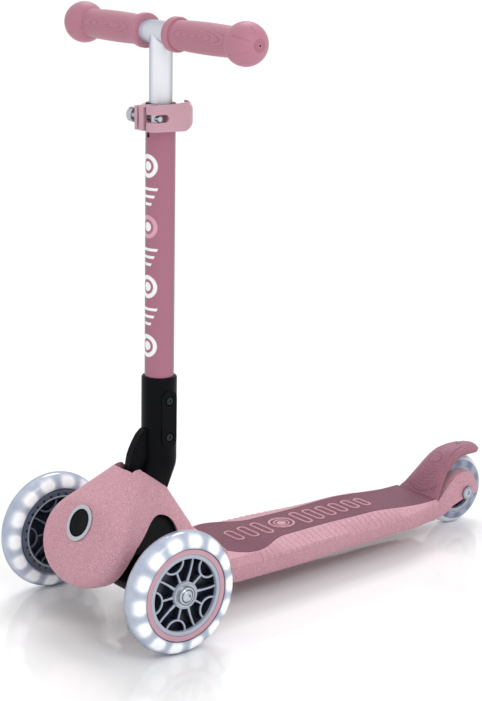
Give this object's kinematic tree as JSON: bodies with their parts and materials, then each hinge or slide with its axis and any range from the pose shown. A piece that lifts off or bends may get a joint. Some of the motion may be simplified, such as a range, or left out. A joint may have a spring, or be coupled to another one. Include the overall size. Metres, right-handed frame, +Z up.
{
  "type": "kick scooter",
  "caption": "Folding three-wheel kick scooter for small children: two spoked front wheels that steer by leaning, ribbed deck with a grip pad, rear foot brake and an adjustable handlebar.",
  "frame": {"origin": "on the floor under the middle of the scooter's bounding box", "axes": "+Z up, +X to the rider's left, -Y forward"},
  "size_m": [0.2974, 0.552, 0.586],
  "materials": {
    "deck_plastic": "satin",
    "mat_rubber": "matte",
    "mat_plastic": "satin",
    "bezel_metal": "satin",
    "steel": "satin",
    "black_steel": "satin",
    "black_plastic": "matte",
    "clear_tyre": "gloss",
    "wheel_core": "gloss",
    "ring_plastic": "gloss",
    "light_lens": "gloss",
    "pink_tube": "gloss",
    "silver_tube": "satin",
    "chrome_metal": "gloss",
    "grip_rubber": "matte"
  },
  "bodies": {
    "deck": {"deck_shell": "deck_plastic", "deck_mat": "mat_rubber", "nose_housing": "deck_plastic", "arch_liners": "black_plastic", "button_bezel": "bezel_metal", "housing_screws": "steel", "fold_pin": "steel", "fold_pin_nut": "steel", "kingpin": "steel", "kingpin_nut": "steel", "rear_axle_bolt": "steel", "rear_axle_nut": "steel", "rear_axle_spacers": "steel", "rear_spacer": "steel", "brake_hinge_pin": "steel"},
    "front_axle": {"truck_frame": "black_plastic", "steer_bushes": "black_plastic", "left_axle_bolt": "steel", "right_axle_bolt": "steel", "left_washers": "steel", "right_washers": "steel", "left_spacer": "steel", "right_spacer": "steel"},
    "left_wheel": {"left_tyre": "clear_tyre", "left_core": "wheel_core", "left_rim_ring": "ring_plastic", "left_lights": "light_lens", "left_bearings": "steel"},
    "right_wheel": {"right_tyre": "clear_tyre", "right_core": "wheel_core", "right_rim_ring": "ring_plastic", "right_lights": "light_lens", "right_bearings": "steel"},
    "rear_wheel": {"rear_tyre": "clear_tyre", "rear_core": "wheel_core", "rear_bearings": "steel"},
    "brake": {"brake_lever": "mat_plastic", "brake_pad": "steel", "brake_rivet": "steel", "brake_spring": "steel"},
    "button": {"front_button": "black_plastic", "fold_latch": "steel", "button_spring": "steel"},
    "stem": {"stem_knuckle": "black_plastic", "stem_screws": "black_steel", "outer_tube": "pink_tube", "guide_bush": "black_plastic", "clamp_collar": "ring_plastic", "clamp_bolt": "steel", "clamp_barrel": "steel", "clamp_washer": "steel"},
    "lever": {"clamp_lever": "ring_plastic"},
    "nut": {"clamp_nut": "chrome_metal"},
    "bar": {"inner_tube": "silver_tube", "tube_bush": "black_plastic", "handlebar": "silver_tube", "left_grip": "grip_rubber", "right_grip": "grip_rubber", "bar_plugs": "black_plastic"}
  },
  "joints": [
    {"name": "truck_steer", "type": "hinge", "parent": "deck", "child": "front_axle", "pos_m": [0, -0.212, 0.057], "axis": [0, -0.766, 0.6428], "range_deg": [-10, 10], "stiffness_Nm_per_rad": 40},
    {"name": "left_wheel_spin", "type": "hinge", "parent": "front_axle", "child": "left_wheel", "pos_m": [0.1088, -0.216, 0.06], "axis": [1, 0, 0], "continuous": true},
    {"name": "right_wheel_spin", "type": "hinge", "parent": "front_axle", "child": "right_wheel", "pos_m": [-0.1088, -0.216, 0.06], "axis": [1, 0, 0], "continuous": true},
    {"name": "rear_wheel_spin", "type": "hinge", "parent": "deck", "child": "rear_wheel", "pos_m": [0, 0.236, 0.04], "axis": [1, 0, 0], "continuous": true},
    {"name": "brake_press", "type": "hinge", "parent": "deck", "child": "brake", "pos_m": [0, 0.1874, 0.0375], "axis": [1, 0, 0], "range_deg": [-2.8, 0], "stiffness_Nm_per_rad": 20},
    {"name": "button_slide", "type": "slide", "parent": "deck", "child": "button", "axis": [0, 0.8829, -0.4695], "range_m": [0, 0.0035], "stiffness_N_per_m": 800},
    {"name": "stem_fold", "type": "hinge", "parent": "deck", "child": "stem", "pos_m": [0, -0.183, 0.117], "axis": [1, 0, 0], "range_deg": [-86, 0]},
    {"name": "bar_slide", "type": "slide", "parent": "stem", "child": "bar", "axis": [0, 0.0197, 0.9998], "range_m": [-0.035, 0.075]},
    {"name": "clamp_open", "type": "hinge", "parent": "stem", "child": "lever", "pos_m": [0.0173, -0.17325, 0.48962], "axis": [0, 0.0197, 0.9998], "range_deg": [-100, 0]},
    {"name": "nut_turn", "type": "hinge", "parent": "stem", "child": "nut", "pos_m": [-0.013, -0.17325, 0.48962], "axis": [1, 0, 0], "continuous": true}
  ]
}
